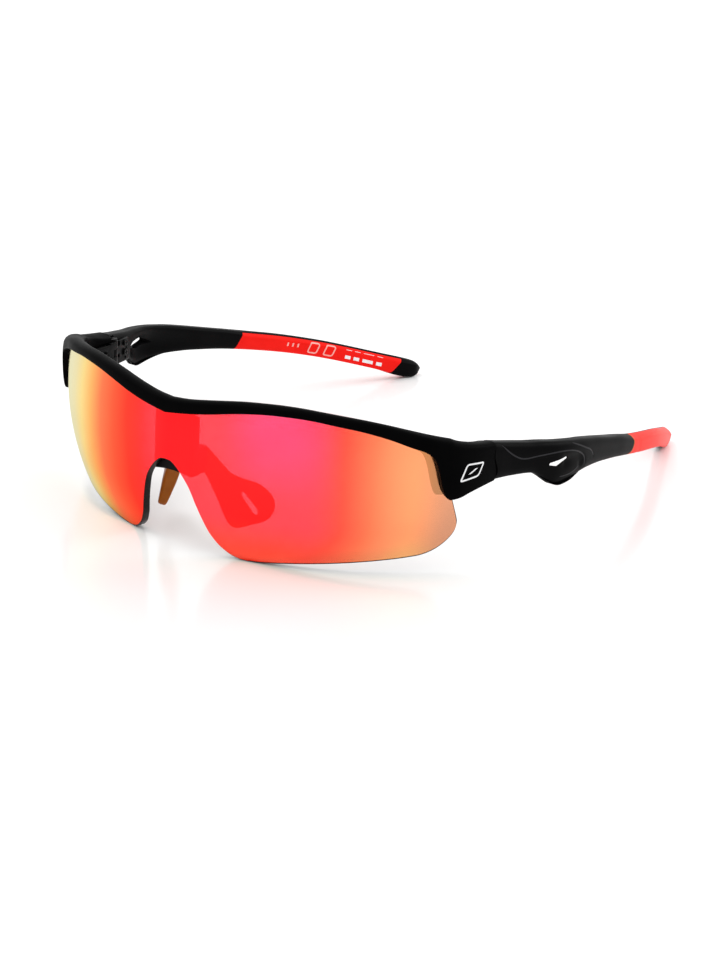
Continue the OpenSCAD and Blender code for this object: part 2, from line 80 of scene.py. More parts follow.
# Frame end pieces: x, y of the outer face, inward direction x, y, low z, top z, rounding, depth
END_STATIONS = [
    (64.1, -11.7, -0.90, 0.42, -11.7, 2.1, 0.9, 5.6),
    (64.8, -8.6, -0.96, 0.26, -10.85, 1.4, 0.75, 5.5),
    (65.2, -5.6, -0.985, 0.17, -10.3, 0.8, 0.6, 5.8),
    (65.35, -2.6, -0.995, 0.08, -9.95, 0.3, 0.45, 6.05),
    (65.4, 1.3, -1, 0, -9.62, -0.2, 0.35, 6.2),
    (65.5, 3.4, -1, 0, -9.4, -0.5, 0.3, 6.2)]
SECTION_CUTS = [0.3, 0.35, 0.5, 0.5, 0.6, 0.6, 0.3, 0.6, 0.25, 0.25, 0.1, 0.1]

# Arms, by y: x of the outer face, z of the top and of the underside, thickness,
# hollowing of the inner face
ARM_OUT = [
    (-4, 64.6), (0, 65.4), (4, 66.3), (8, 67.3), (12, 68.4), (16, 69.6), (20, 70.6), (24, 71.0),
    (28, 70.9), (32, 70.5), (38, 69.7), (44, 68.8), (50, 67.9), (56, 66.9), (62, 65.7),
    (70, 63.7), (78, 61.0), (86, 57.8), (94, 54.1), (102, 50.3), (110, 46.4), (115.7, 43.7)]
ARM_TOP = [
    (-4, 0.5), (0, -0.1), (4, -0.85), (8, -1.5), (12, -2.15), (16, -2.6), (20, -3.2),
    (24, -3.8), (28, -4.5), (32, -5.2), (38, -6.5), (44, -7.9), (50, -9.3), (56, -10.6),
    (62, -12.0), (70, -13.8), (78, -15.8), (86, -18.0), (94, -20.5), (102, -23.1),
    (108, -25.0), (111.6, -26.3), (113.8, -27.5), (114.8, -28.6)]
ARM_LOW = [
    (-4, -9.9), (0, -9.75), (4, -9.7), (8, -9.8), (11, -9.95), (13.2, -10.3), (15, -11.3),
    (17, -12.8), (18.8, -14.0), (20.4, -14.4), (22, -14.3), (25, -13.9), (28, -13.5),
    (32, -13.2), (36, -13.3), (40, -13.6), (44, -14.1), (50, -15.0), (56, -16.1), (62, -17.3),
    (70, -19.0), (78, -20.9), (86, -23.1), (94, -25.6), (102, -28.3), (106, -30.0),
    (109, -30.9), (111.4, -31.1), (113.4, -30.7), (114.8, -29.6)]
ARM_T = [(0, 5.2), (16, 5.2), (30, 4.6), (50, 4.2), (90, 4.2), (108, 4.2), (112, 3.6), (114.8, 1.6)]
ARM_WAIST = [(11, 0), (15, 1.6), (18, 2.4), (24, 2.5), (28, 1.9), (34, 0.8), (42, 0)]
# Share of the hollowing by height in the section, -1 at the bottom and 1 at the top
WAIST_FADE = [(-1, 1), (-0.3, 1), (0.5, 0.35), (0.9, 0), (1, 0)]
# Arm section as (across, up) fractions of half its size
ARM_SHAPE = [
    (1, -0.25), (1, 0.3), (0.93, 0.65), (0.7, 0.9), (0.3, 1), (-0.5, 1), (-0.88, 0.82),
    (-1, 0.45), (-1, -0.5), (-0.88, -0.85), (-0.5, -1), (0.4, -1), (0.76, -0.9), (0.95, -0.62)]


# ---- curves -----------------------------------------------------------------
def hermite(t, start, start_slope, end, end_slope, span):
    return ((2*t**3 - 3*t*t + 1) * start + (t**3 - 2*t*t + t) * start_slope * span
            + (3*t*t - 2*t**3) * end + (t**3 - t*t) * end_slope * span)


def curve(table, at):
    """Smooth value of a table of (position, value) rows, held at its ends."""
    table = np.asarray(table, float)
    x, y = table[:, 0], table[:, 1]
    count = len(x)
    before = np.maximum(np.arange(count) - 1, 0)
    after = np.minimum(np.arange(count) + 1, count - 1)
    slope = (y[after] - y[before]) / (x[after] - x[before])
    at = np.clip(np.asarray(at, float), x[0], x[-1])
    i = np.clip(np.searchsorted(x, at, side="right") - 1, 0, count - 2)
    span = x[i + 1] - x[i]
    return hermite((at - x[i]) / span, y[i], slope[i], y[i + 1], slope[i + 1], span)


def catmull(points, pieces, closed=False):
    """Smooth curve through points, cut into pieces between each two."""
    points = np.asarray(points, float)
    count = len(points)
    line = []
    for i in range(count if closed else count - 1):
        near = np.arange(i - 1, i + 3)
        near = near % count if closed else np.clip(near, 0, count - 1)
        before, start, end, after = points[near]
        for j in range(pieces):
            t = j / pieces
            line.append(0.5 * ((2*start) + (end - before)*t
                               + (2*before - 5*start + 4*end - after)*t*t
                               + (-before + 3*start - 3*end + after)*t**3))
    if not closed:
        line.append(points[-1])
    return np.array(line)


def rounded(corners, cut, pieces=3):
    """Polygon with its corners turned into short curves, cut back by one or many distances."""
    corners = np.asarray(corners, float)
    count = len(corners)
    cuts = np.broadcast_to(cut, count)
    line = []
    for i in range(count):
        before, corner, after = corners[i - 1], corners[i], corners[(i + 1) % count]
        ends = []
        for other in (before, after):
            length = np.linalg.norm(other - corner)
            step = min(cuts[i], 0.45 * length)
            ends.append(corner + (other - corner) / max(length, 1e-9) * step)
        for j in range(pieces + 1):
            t = j / pieces
            line.append((1-t)**2 * ends[0] + 2*t*(1-t) * corner + t*t * ends[1])
    return np.array(line)


def ease(value, start, end):
    t = min(max((value - start) / (end - start), 0), 1)
    return t * t * (3 - 2 * t)


def circle(centre_x, centre_y, radius, count=48):
    return [(centre_x + radius * math.cos(2*math.pi*i/count),
             centre_y + radius * math.sin(2*math.pi*i/count)) for i in range(count)]


def inward_normals(loop):
    tangents = np.roll(loop, -1, 0) - np.roll(loop, 1, 0)
    tangents /= np.maximum(np.linalg.norm(tangents, axis=1), 1e-9)[:, None]
    after = np.roll(loop, -1, 0)
    area = np.sum(loop[:, 0] * after[:, 1] - after[:, 0] * loop[:, 1])
    return np.stack([-tangents[:, 1], tangents[:, 0]], -1) * (1 if area > 0 else -1)


def inset(loop, distance):
    return loop + inward_normals(loop) * distance


def convex_hull(points):
    """Corners of the hull, counter-clockwise."""
    def half(ordered):
        chain = []
        for p in ordered:
            while len(chain) > 1:
                (x0, y0), (x1, y1) = chain[-2:]
                if (x1 - x0) * (p[1] - y0) - (y1 - y0) * (p[0] - x0) > 1e-12:
                    break
                chain.pop()
            chain.append(p)
        return chain[:-1]
    ordered = sorted(points)
    return np.array(half(ordered) + half(ordered[::-1]))


def shell(angle, z, outward):
    """Points on the shield's outer surface, moved outwards."""
    angle = np.radians(np.asarray(angle, float))
    z = np.asarray(z, float)
    side = SIDE_R + outward
    reach = PLAN_R - SIDE_R + np.sqrt(side * side - (z - EYE_Z) ** 2)
    return np.stack([reach * np.sin(angle), RING_Y - reach * np.cos(angle), z + 0 * reach], -1)


# ---- mesh helpers -----------------------------------------------------------
def link_object(name, data):
    obj = bpy.data.objects.new(name, data)
    bpy.context.scene.collection.objects.link(obj)
    return obj


def mesh_object(name, points, faces):
    """Mesh from points in metres in the standing frame."""
    mesh = bpy.data.meshes.new(name)
    mesh.from_pydata([tuple(p) for p in points], [], [tuple(int(i) for i in f) for f in faces])
    mesh.validate()
    mesh.update()
    return link_object(name, mesh)


def solid(name, points, faces):
    """Closed mesh from points in metres, its faces turned outwards."""
    obj = mesh_object(name, points, faces)
    mesh = obj.data
    places = np.array([v.co for v in mesh.vertices], float)
    mesh.calc_loop_triangles()
    first, second, third = places[np.array([t.vertices for t in mesh.loop_triangles]).T]
    if np.einsum("ij,ij->", first, np.cross(second, third)) < 0:
        mesh.flip_normals()
    mesh.update()
    return obj


def standing(points):
    return (np.asarray(points, float) + LIFT) * MM


def skin(name, rings):
    """Closed skin through rings of the same number of points."""
    rings = np.asarray(rings, float)
    count, around = rings.shape[:2]
    here = np.arange(around)
    after = (here + 1) % around
    faces = []
    for i in range(count - 1):
        low, high = i * around, (i + 1) * around
        faces += list(zip(low + here, low + after, high + after, high + here))
    faces.append(tuple(range(around - 1, -1, -1)))
    faces.append(tuple((count - 1) * around + j for j in range(around)))
    return solid(name, standing(rings.reshape(-1, 3)), faces)


def prism(name, outline, axis, start, end):
    """Prism of a polygon. Axis x: outline is (y, z). Axis z: outline is (x, y)."""
    count = len(outline)
    points = [(h, p[0], p[1]) if axis == "x" else (p[0], p[1], h)
              for h in (start, end) for p in outline]
    faces = [tuple(range(count - 1, -1, -1)), tuple(range(count, 2 * count))]
    faces += [(i, (i + 1) % count, count + (i + 1) % count, count + i) for i in range(count)]
    return solid(name, standing(points), faces)


def boolean(obj, steps):
    """Applies (operation, cutter) steps to the mesh and removes the cutters."""
    for operation, cutter in steps:
        modifier = obj.modifiers.new("cut", "BOOLEAN")
        modifier.operation = operation
        modifier.object = cutter
        # guards against a Blender without the manifold solver
        try:
            modifier.solver = "MANIFOLD"
        except TypeError:
            modifier.solver = "EXACT"
    bpy.context.view_layer.update()
    depsgraph = bpy.context.evaluated_depsgraph_get()
    mesh = bpy.data.meshes.new_from_object(obj.evaluated_get(depsgraph))
    obj.modifiers.clear()
    obj.data = mesh
    for _, cutter in steps:
        bpy.data.objects.remove(cutter)
    return obj


def both_sides(half):
    """Rings from the right end to the left, from those of the left half."""
    return [ring * np.array([-1.0, 1, 1]) for ring in half[:0:-1]] + half


def on_side(obj, sign):
    """Mirrors a left piece to the right for sign = -1."""
    if sign < 0:
        obj.data.transform(Matrix.Scale(-1, 4, (1, 0, 0)))
        obj.data.flip_normals()
    return obj


def smooth(obj, crease=34):
    obj.data.shade_smooth()
    obj.data.set_sharp_from_angle(angle=math.radians(crease))


# ---- shield lens ------------------------------------------------------------
def groove_top(angle):
    if angle >= 50:
        return float(curve(GROOVE_END_TOP, angle))
    low, high = curve(BROW_LOW, angle), curve(BROW_TOP, angle)
    return float(low + 0.5 * (high - low))


def side_end(z):
    """Angle of the lens's slanted outer end, with a soft start above its lower corner."""
    above = z + 20.4
    above = np.where(above > 3, above - 1.5, np.maximum(above, 0) ** 2 / 6)
    return LENS_END - np.minimum(above * 0.27, 4.2)


def sheet_ring(angle, z, outward, widen=0.0):
    """One upright section, bent towards the slanted end."""
    bend = ((angle - 48) / 11.3) ** 2 if angle > 48 else 0
    extra = widen * (angle - 40) / 19.5 if angle > 40 else 0
    return shell(angle + bend * (side_end(z) - LENS_END) + extra, z, outward)


def lens_ring(angle):
    low, high = float(curve(LENS_LOW, angle)), groove_top(angle) - GAP
    cut, ease_in = LENS_ROUND, LENS_ROUND * 0.3
    face = np.concatenate([[low + cut], np.linspace(low + cut + 0.17, high - cut, LENS_ROWS)])
    z = np.concatenate([[low + ease_in], face, [high - ease_in, high, high, high - ease_in],
                        face[::-1], [low + ease_in, low, low]])
    outward = np.concatenate([
        [-ease_in], 0*face, [-ease_in, -cut, -LENS_T + cut, -LENS_T + ease_in],
        0*face - LENS_T, [-LENS_T + ease_in, -LENS_T + cut, -cut]])
    return sheet_ring(angle, z, outward)


def groove_ring(angle):
    face = np.linspace(float(curve(LENS_LOW, angle)) - 6, groove_top(angle), 9)
    return sheet_ring(angle, np.concatenate([face, face[::-1]]),
                      np.concatenate([0*face + GAP, 0*face - LENS_T - GAP]), GROOVE_WIDEN)


def lens_columns():
    columns = [np.arange(0, 14, 0.25), np.arange(14, 48, 0.5), np.arange(48, 59.1, 0.25),
               [59.14, LENS_END]]
    return np.unique(np.round(np.concatenate(columns), 4))


def build_lens():
    return skin("shield_lens_visual", both_sides([lens_ring(float(a)) for a in lens_columns()]))


def lens_groove():
    """Coarser sheet around the lens; its columns keep off those of the frame."""
    columns = [c for c in lens_columns() if abs(c * 2 - round(c * 2)) < 1e-6 or c > 59]
    return skin("groove", both_sides(
        [groove_ring(float(a) + (0.11 if 0 < a < 59 else 0)) for a in columns]))


def sort_lens_faces(lens):
    """Material 0 on the outer face, 1 on the inner face, 2 on the edges."""
    around = len(lens_ring(0.0))
    spans = len(lens.data.vertices) // around - 1
    for face in lens.data.polygons:
        x, y = face.center.x, face.center.y - RING_Y_M
        radius = math.hypot(x, y)
        tilt = (face.center.z - (EYE_Z + LIFT[2]) * MM) / (SIDE_R * MM)
        level = Vector((x / radius, y / radius, 0))
        normal = (level * math.sqrt(max(1 - tilt * tilt, 0)) + Vector((0, 0, tilt))).normalized()
        facing = face.normal.dot(normal)
        face.material_index = 0 if facing > 0.985 else 1 if facing < -0.985 else 2
        # the outer face's last strip along the lower and outer edges is dark too
        ring, row = divmod(face.index, around)
        on_rim = row <= 1 or (row < LENS_ROWS + 2 and ring in (0, spans - 1))
        if ring < spans and on_rim and math.degrees(math.atan2(abs(x), -y)) > 17:
            face.material_index = 2


# ---- brow frame -------------------------------------------------------------
def section(low, rear_low, top, depth, soft):
    """Frame section as (depth behind the face, z), its top front softened."""
    corners = [
        (0.25, low), (0, low + 0.3), (0.05, top - 0.5 - 1.3*soft), (0.5, top + 0.05 - 0.7*soft),
        (1.5, top + 0.25 - 0.5*soft), (3.1, top - 0.05), (depth - 0.35, top - 0.75),
        (depth, top - 1.5), (depth, rear_low + 0.3), (depth - 0.3, rear_low),
        (2.4, rear_low), (2.2, low)]
    return rounded(corners, SECTION_CUTS)


def brow_rear_low(angle):
    if angle < 47:
        return float(curve(BROW_LOW, angle)) - 0.3
    return max(float(curve(BROW_LOW, min(angle + 1.2, 57))) - 0.3, -11.7)


def brow_ring(angle):
    flare = ease(angle, 43, 54)            # the frame thickens towards its end pieces
    points = section(float(curve(BROW_LOW, angle)), brow_rear_low(angle),
                     float(curve(BROW_TOP, angle)), 4.6 + 0.9 * flare, flare)
    return shell(angle, points[:, 1], 1.2 + 0.9 * flare - points[:, 0])


def end_ring(station):
    x, y, inward_x, inward_y, low, top, soft, depth = station
    points = section(low, low - 0.02, top, depth, soft)
    bow = -(points[:, 1] + 5) ** 2 * 0.006
    return np.stack([x + bow + inward_x * points[:, 0], y + inward_y * points[:, 0],
                     points[:, 1]], -1)


def refine(rings, start, pieces):
    """Smooth rings put between the given ones from index start on, point by point."""
    rings = [np.asarray(ring, float) for ring in rings]
    at = [0.0]
    for i in range(1, len(rings)):
        at.append(at[-1] + float(np.linalg.norm(rings[i].mean(0) - rings[i-1].mean(0))))
    last = len(rings) - 1

    def slope(i):
        before, after = max(i - 1, 0), min(i + 1, last)
        return (rings[after] - rings[before]) / (at[after] - at[before])
    result = list(rings[:start])
    for i in range(start, last):
        result += [hermite(j / pieces, rings[i], slope(i), rings[i+1], slope(i + 1),
                           at[i+1] - at[i]) for j in range(pieces)]
    return result + [rings[-1]]


def wave(z):
    """y of the wavy seam at a height."""
    return 0.55 * np.sin(np.radians((z + 1) * 42))


def behind_seam(name, top, back, corners, start, end):
    """Prism behind the seam, down from z = top, closed by far corners."""
    line = [(float(wave(z)) + back, float(z)) for z in np.arange(top, -10.01 - top, -0.25)]
    return prism(name, line + corners, "x", start, end)


def hinge_clearance():
    return prism("relief", circle(HINGE_X, HINGE_Y, 1.8), "z", -8.1, -0.8)


def build_frame():
    angles = list(np.arange(0, 50, 0.6)) + list(np.arange(50, 56.7, 0.3))
    half = [brow_ring(float(a)) for a in angles]
    last_brow = len(half) - 1
    half += [end_ring(station) for station in END_STATIONS]
    obj = skin("brow_frame_visual", both_sides(refine(half, last_brow, 7)))
    hinge_seat = [(54.4, -9.3), (59.45, -9.3), (59.45, 2.7), (54.4, 2.7)]
    cutters = [lens_groove()]
    for sign in (1, -1):
        cutters += [on_side(piece, sign) for piece in (
            behind_seam("seam", 3, 0, [(30, -13), (30, 3)], 20, 90),
            hinge_clearance(),
            prism("seat", hinge_seat, "z", -7.95, -1.65))]
    boolean(obj, [("DIFFERENCE", cutter) for cutter in cutters])
    # socket of the bridge block's tongue, seen from behind and above
    socket = [(-4.6, -42.6), (4.6, -42.6), (4.6, -39.4), (-4.6, -39.4)]
    slot = [(-2.3, -42.4), (2.3, -42.4), (2.3, -40.6), (-2.3, -40.6)]
    return boolean(obj, [("UNION", prism("socket", rounded(socket, 0.4), "z", 1.9, 4.5)),
                         ("DIFFERENCE", prism("slot", slot, "z", 1.0, 3.9))])


# ---- arms -------------------------------------------------------------------
def arm_profile():
    """Rounded section as fractions of half the size, with most points on the outer face."""
    loop = np.clip(catmull(ARM_SHAPE, 60, closed=True), -1, 1)
    scaled = loop * np.array([2.6, 5.0])
    lengths = np.linalg.norm(np.roll(scaled, -1, 0) - scaled, axis=1)
    middles = (loop + np.roll(loop, -1, 0)) / 2
    weights = np.where(middles[:, 0] > 0.55, 2.6, 1.0)
    along = np.concatenate([[0], np.cumsum(lengths * weights)])
    wanted = np.linspace(0, along[-1], 105)[:-1]
    loop = np.vstack([loop, loop[:1]])
    return np.stack([np.interp(wanted, along, loop[:, i]) for i in (0, 1)], -1)


PROFILE = arm_profile()
ARM_STATIONS = np.unique(np.round(np.concatenate([
    np.arange(-3, 38, 0.3), np.arange(38, 64, 0.6), np.arange(64, 104, 1.2),
    np.arange(104, 114.8, 0.5), [114.4, 114.65, 114.8]]), 3))

# Engraved lines on the outer face, as (y, z)
LINE_1 = catmull([(1.6, -0.4), (4.2, -3.0), (7.0, -4.9), (9.6, -5.7), (14.0, -5.6), (20.9, -5.7),
                  (26.0, -6.6), (29.4, -8.1), (31.0, -9.6), (31.2, -11.6)], 8)
LINE_2 = catmull([(24.4, -4.2), (28.0, -5.6), (31.4, -7.1), (34.3, -8.5), (35.8, -10.3)], 8)
LINE_3 = catmull([(28.6, -11.2), (25.4, -12.1), (22.6, -12.3), (20.5, -12.2)], 8)
SCOOP = catmull([(22.6, -8.5), (25.5, -8.6), (28.2, -9.3), (29.3, -10.3)], 8)
STEP_Y = [1, 7, 12, 22, 28, 31]            # the step below the first line
STEP_Z = [-0.4, -4.9, -5.7, -5.8, -7.4, -9.6]


def arm_middle(y):
    return float(curve(ARM_TOP, y) + curve(ARM_LOW, y)) / 2


def groove(y, z, line, depth, width):
    """Depth of a soft groove along a line."""
    nearest = np.full(y.shape, 1e9)
    for start, end in zip(line[:-1], line[1:]):
        run = end - start
        t = ((y - start[0]) * run[0] + (z - start[1]) * run[1]) / (run @ run)
        t = np.clip(t, 0, 1)
        nearest = np.minimum(nearest, np.hypot(y - start[0] - t * run[0],
                                               z - start[1] - t * run[1]))
    return depth * np.exp(-(nearest / width) ** 2)


def engraving(y, z):
    """Depth of the engraving on an arm's outer face."""
    depth = groove(y, z, LINE_1, depth=0.07, width=0.5)
    depth += groove(y, z, LINE_2, depth=0.05, width=0.5)
    depth += groove(y, z, SCOOP, depth=0.42, width=1.45)
    # the face steps down a little under the first line and fades in and out along y
    below = np.clip((np.interp(y, STEP_Y, STEP_Z) - z) / 0.8, 0, 1)
    return depth + 0.12 * below * np.clip((y - 2) / 3, 0, 1) * np.clip((31.5 - y) / 2.5, 0, 1)


def arm_ring(y, engraved):
    across, up = PROFILE.T
    half = float(curve(ARM_T, y)) / 2
    top, low = float(curve(ARM_TOP, y)), float(curve(ARM_LOW, y))
    hollow = np.where(across < 0, float(curve(ARM_WAIST, y)) * curve(WAIST_FADE, up), 0)
    x = float(curve(ARM_OUT, y)) - half + across * half + hollow
    z = (top + low) / 2 + up * (top - low) / 2
    # the top falls away to both sides of a ridge along the grips
    z = z - 0.42 * ease(y, 50, 64) * np.abs(across) * half * np.clip((up - 0.2) / 0.7, 0, 1)
    all_y = np.full(z.shape, y)
    if engraved:
        x = x - engraving(all_y, z) * np.clip((across - 0.45) / 0.35, 0, 1)
        # the wall thins to the vent from inside
        near_vent = np.exp(-((y - 20.2) / 5.5) ** 2 - ((z + 8.5) / 3.2) ** 2)
        x = x + 1.5 * near_vent * np.clip((-across - 0.2) / 0.5, 0, 1)
    else:
        # shallow moulded groove next to the shell's end
        near_line = np.exp(-((y - 65.0) / 0.55) ** 2)
        x = x - 0.16 * near_line * np.clip((across - 0.3) / 0.35, 0, 1)
    return np.stack([x, all_y, z], -1)


def arm_solid(name, engraved):
    return skin(name, [arm_ring(y, engraved) for y in ARM_STATIONS])


def band(near, far, start, end, drop):
    """Slab along the arm between two depths from its outer face, its top below the arm's."""
    rings = []
    for y in np.linspace(start, end, 60):
        x, top = float(curve(ARM_OUT, y)), float(curve(ARM_TOP, y)) - drop
        x_near, x_far = x - near, x - far(y)
        rings.append([(x_near, y, -45), (x_near, y, top), (x_far, y, top), (x_far, y, -45)])
    return skin("band", rings)


def outer_pocket(gap):
    """Outer half of the arm, starting concave around the shell's round end."""
    slab = band(-6, lambda y: min(2.0, 0.5 * float(curve(ARM_T, y))) - gap, SHELL_END, 118, -6)
    middle = arm_middle(SHELL_END)
    ellipse = [(SHELL_END + (SHELL_A + gap) * math.cos(t), middle + (SHELL_B + gap) * math.sin(t))
               for t in np.linspace(0, 2 * math.pi, 73)[:-1]]
    return boolean(slab, [("DIFFERENCE", prism("round_end", ellipse, "x", -50, 120))])


def inner_pocket(gap):
    thickness, depth = 4.2, 1.5
    slab = band(thickness - depth + gap, lambda y: 12, 50, 111, 0.5 + gap)
    corners = [(62.2 + gap, -6), (50.4 + gap, -22), (52 + gap, -36), (100.6 - gap, -36),
               (103.2 - gap, -30.2), (108.4 - gap, -24.8), (112 - gap, -18)]
    return boolean(slab, [("INTERSECT", prism("outline", corners, "x", 20, 100))])


def vent():
    """Three-cornered hole that opens out towards the inside along a slant."""
    corners = []
    for y, z in ((17.2, -8.4), (19.6, -9.0), (23.0, -7.8)):
        corners += circle(y, z, 0.35, 16)
    hole = convex_hull(corners)
    slant = np.array([1.32, -0.565])
    side = np.tanh(-4 * inward_normals(hole) @ slant / np.linalg.norm(slant))
    # (depth from the outer face, share of the slant)
    layers = ((-4, 0), (0.7, 0), (1.3, 0.75), (2.2, 1.75), (3.4, 2.8), (9.0, 2.9))
    return skin("vent", [[(float(curve(ARM_OUT, y)) - depth, y, z)
                          for y, z in hole + side[:, None] * slant * share]
                         for depth, share in layers])


def leaf_seat():
    """Box cut for the hinge leaf, turned with the arm."""
    turn = math.radians(-13.7)
    cos, sin = math.cos(turn), math.sin(turn)
    corners = [(HINGE_X + cos*x - sin*y, HINGE_Y + sin*x + cos*y)
               for x, y in ((-8.75, -6), (0.25, -6), (0.25, 8), (-8.75, 8))]
    return prism("leaf_seat", corners, "z", -11.8, 2.2)


def build_arm(sign, side):
    arm = boolean(arm_solid(side + "_temple_arm_visual", True), [
        ("INTERSECT", behind_seam("behind", 4, ARM_GAP, [(0.0, -50), (140, -50), (140, 4)],
                                  20, 100)),
        ("DIFFERENCE", hinge_clearance()), ("DIFFERENCE", leaf_seat()), ("DIFFERENCE", vent()),
        ("DIFFERENCE", outer_pocket(0)), ("DIFFERENCE", inner_pocket(0))])
    outer = boolean(arm_solid(side + "_outer_grip_visual", False),
                    [("INTERSECT", outer_pocket(GRIP_GAP))])
    inner = boolean(arm_solid(side + "_inner_grip_visual", False),
                    [("INTERSECT", inner_pocket(GRIP_GAP))])
    return [on_side(obj, sign) for obj in (arm, outer, inner)]


# ---- nose pads --------------------------------------------------------------
# Origin and axes of the left pad; outlines are (back, up) along its axes
PAD_AT = np.array([3.4, -36.0, -13.4])
PAD_OUT = np.array([0.751, -0.611, 0.250])
PAD_BACK = np.array([0.580, 0.792, 0.193])
PAD_UP = np.array([-0.316, 0, 0.949])
PAD_LINE = [
    (0, 5.6), (2.4, 5.2), (5, 0.3), (6.5, -2.2), (9.2, -4.2), (12.8, -6.2), (14.8, -8.7),
    (15.7, -11.2), (15.4, -13.2), (13.7, -15.2), (11.6, -15.9), (9, -15.8), (7, -15.9),
    (5, -15.8), (3.7, -15.0), (2.9, -13.6), (2.1, -8.7), (1.1, -3.7), (0.2, -0.5),
    (-1.9, -0.3), (-1.9, 5.6)]
PAD_CUTS = [0.3, 0.8] + [1.2] * 16 + [0.5, 0.3, 0.3]
PAD_SLOT = [(7.9, -7.2), (8.8, -7.6), (11.2, -12.8), (10.9, -13.9), (9.9, -13.4), (7.8, -8.2)]
# Rounded-edge layers: inset and depth through the pad
PAD_LAYERS = [(0.6, 0.0), (0.27, 0.11), (0.07, 0.38), (0.0, 0.85), (0.0, 1.75), (0.07, 2.22),
              (0.27, 2.49), (0.6, 2.6)]
PAD_T = 2.6
# The slot's cutter widens outwards and reaches through both faces
SLOT_LAYERS = [(-cut * 0.8, -0.5 + depth / PAD_T * 3.6) for cut, depth in PAD_LAYERS]


def pad_solid(name, loop, layers):
    rings = []
    for cut, depth in layers:
        back, up = inset(loop, cut).T[:, :, None]
        fat = np.interp(up, [-16, -6, -2.2, -1.0], [0.78, 1.38, 1.32, 1.0])
        through = PAD_T / 2 + (depth - PAD_T / 2) * fat
        rings.append(PAD_AT + back * PAD_BACK + up * PAD_UP + through * PAD_OUT)
    return skin(name, rings)


def build_pad(sign, side):
    pad = pad_solid(side + "_nose_pad_visual", rounded(PAD_LINE, PAD_CUTS, 4), PAD_LAYERS)
    slot = pad_solid("pad_slot", rounded(PAD_SLOT, 0.5, 4), SLOT_LAYERS)
    return on_side(boolean(pad, [("DIFFERENCE", slot)]), sign)


# ---- materials --------------------------------------------------------------
class Shader:
    """Short-hand for building a material's nodes. Lengths are in metres."""

    def __init__(self, name):
        self.material = bpy.data.materials.new(name)
        self.material.use_nodes = True
        self.tree = self.material.node_tree
        self.principled = self.tree.nodes["Principled BSDF"]
        self.output = self.tree.nodes["Material Output"]
        self.place = self.node("TexCoord").outputs["Object"]

    def node(self, kind):
        return self.tree.nodes.new("ShaderNode" + kind)

    def feed(self, socket, value):
        """Gives an input a number, a colour, a vector or another node's output."""
        if isinstance(value, (int, float)):
            socket.default_value = value
        elif isinstance(value, tuple):
            socket.default_value = value if socket.type == "VECTOR" else value + (1.0,)
        else:
            self.tree.links.new(value, socket)

    def surface(self, inputs):
        for name, value in inputs.items():
            self.feed(self.principled.inputs[name], value)

    def math(self, operation, *values, clamp=False):
        node = self.node("Math")
        node.operation = operation
        node.use_clamp = clamp
        for i, value in enumerate(values):
            self.feed(node.inputs[i], value)
        return node.outputs[0]

    def noise(self, scale, detail, rough, place=None):
        node = self.node("TexNoise")
        self.feed(node.inputs["Vector"], place or self.place)
        self.feed(node.inputs["Scale"], scale)
        self.feed(node.inputs["Detail"], detail)
        self.feed(node.inputs["Roughness"], rough)
        return node.outputs["Fac"]

    def span(self, value, source, to=(0, 1), soft=False):
        """Maps a source range to another."""
        node = self.node("MapRange")
        node.interpolation_type = "SMOOTHSTEP" if soft else "LINEAR"
        for i, item in enumerate((value, *source, *to)):
            self.feed(node.inputs[i], item)
        return node.outputs[0]

    def grain(self, noise, low=0, high=1):
        """Spreads the middle of a noise over a range."""
        return self.span(noise, (0.3, 0.7), to=(low, high))

    def mix(self, factor, first, second):
        node = self.node("Mix")
        node.data_type = "RGBA"
        for i, value in ((0, factor), (6, first), (7, second)):
            self.feed(node.inputs[i], value)
        return node.outputs[2]

    def ramp(self, factor, stops):
        node = self.node("ValToRGB")
        self.feed(node.inputs[0], factor)
        elements = node.color_ramp.elements
        while len(elements) < len(stops):
            elements.new(0.5)
        for i, (position, colour) in enumerate(stops):
            elements[i].position = position
            elements[i].color = colour + (1.0,)
        return node.outputs[0]

    def xyz(self):
        node = self.node("SeparateXYZ")
        self.feed(node.inputs[0], self.place)
        return node.outputs

    def pointiness(self):
        return self.node("NewGeometry").outputs["Pointiness"]

    def bump(self, height, distance, strength, bevel=0.0):
        node = self.node("Bump")
        self.feed(node.inputs["Height"], height)
        self.feed(node.inputs["Distance"], distance)
        self.feed(node.inputs["Strength"], strength)
        if bevel:
            edge = self.node("Bevel")
            edge.samples = 4
            self.feed(edge.inputs["Radius"], bevel)
            self.feed(node.inputs["Normal"], edge.outputs[0])
        return node.outputs[0]

    def with_transparent(self, shader, colour):
        """Adds light let through in a colour to a shader."""
        through = self.node("BsdfTransparent")
        self.feed(through.inputs[0], colour)
        total = self.node("AddShader")
        self.feed(total.inputs[0], shader)
        self.feed(total.inputs[1], through.outputs[0])
        return total.outputs[0]

    def outside_only(self, shader, geometry, clear):
        """Shows the shader on the outside of a face, and nearly clear from within the sheet."""
        inside = self.node("BsdfTransparent")
        self.feed(inside.inputs[0], (clear, clear, clear))
        switch = self.node("MixShader")
        self.feed(switch.inputs[0], geometry.outputs["Backfacing"])
        self.feed(switch.inputs[1], shader)
        self.feed(switch.inputs[2], inside.outputs[0])
        self.feed(self.output.inputs["Surface"], switch.outputs[0])


